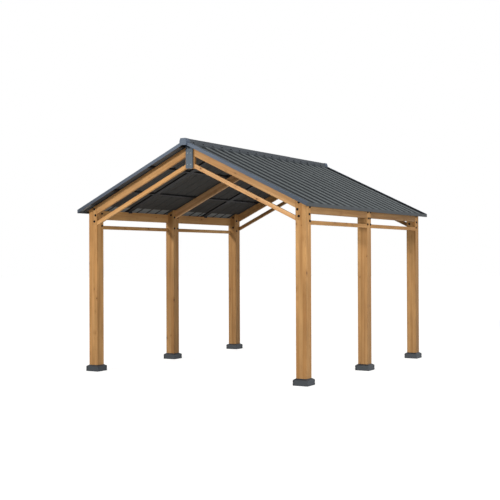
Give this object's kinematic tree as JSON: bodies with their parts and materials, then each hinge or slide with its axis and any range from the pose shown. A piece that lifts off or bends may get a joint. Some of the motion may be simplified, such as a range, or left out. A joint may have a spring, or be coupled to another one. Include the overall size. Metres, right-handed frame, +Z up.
{
  "type": "timber frame carport",
  "caption": "Open gable carport: six square timber posts, bolted rafter and side frames, steel purlins and a ribbed steel roof with ridge cap and trims.",
  "frame": {"origin": "on the ground, at the middle of the plan", "axes": "+Z up, +Y from the front gable to the back gable along the ridge, +X to the right seen from the front"},
  "size_m": [3.485, 4.106, 3.0557],
  "materials": {
    "post_timber": "stained cedar, planed and slightly rounded",
    "frame_timber": "stained cedar boards",
    "roof_sheet": "charcoal coated ribbed steel",
    "roof_trim": "charcoal coated folded steel",
    "purlin_steel": "black coated steel section",
    "bracket_steel": "charcoal coated pressed steel",
    "base_cover": "charcoal coated folded steel"
  },
  "bodies": {
    "root": {"post_front_left": "post_timber", "base_cover_front_left": "base_cover", "post_front_right": "post_timber", "base_cover_front_right": "base_cover", "post_middle_left": "post_timber", "base_cover_middle_left": "base_cover", "post_middle_right": "post_timber", "base_cover_middle_right": "base_cover", "post_back_left": "post_timber", "base_cover_back_left": "base_cover", "post_back_right": "post_timber", "base_cover_back_right": "base_cover", "front_rafter_left": "frame_timber", "front_rafter_right": "frame_timber", "front_chord_left": "frame_timber", "front_chord_right": "frame_timber", "back_rafter_left": "frame_timber", "back_rafter_right": "frame_timber", "back_chord_left": "frame_timber", "back_chord_right": "frame_timber", "middle_rafter_left": "frame_timber", "middle_rafter_right": "frame_timber", "front_end_boards": "frame_timber", "back_end_boards": "frame_timber", "left_end_boards": "frame_timber", "right_end_boards": "frame_timber", "header_front_left": "frame_timber", "header_front_right": "frame_timber", "header_back_left": "frame_timber", "header_back_right": "frame_timber", "rails_left": "frame_timber", "rails_right": "frame_timber", "ridge_bracket_front": "bracket_steel", "ridge_bracket_middle": "bracket_steel", "ridge_bracket_back": "bracket_steel", "steel_rafters_left": "purlin_steel", "steel_rafters_right": "purlin_steel", "purlins_left": "purlin_steel", "purlins_right": "purlin_steel", "roof_sheet_left": "roof_sheet", "roof_sheet_right": "roof_sheet", "joint_strap_left": "roof_trim", "joint_strap_right": "roof_trim", "ridge_cap": "roof_trim", "ridge_end_caps": "roof_trim", "rake_trims_front": "roof_trim", "rake_trims_back": "roof_trim", "eave_trims": "roof_trim"}
  },
  "joints": []
}
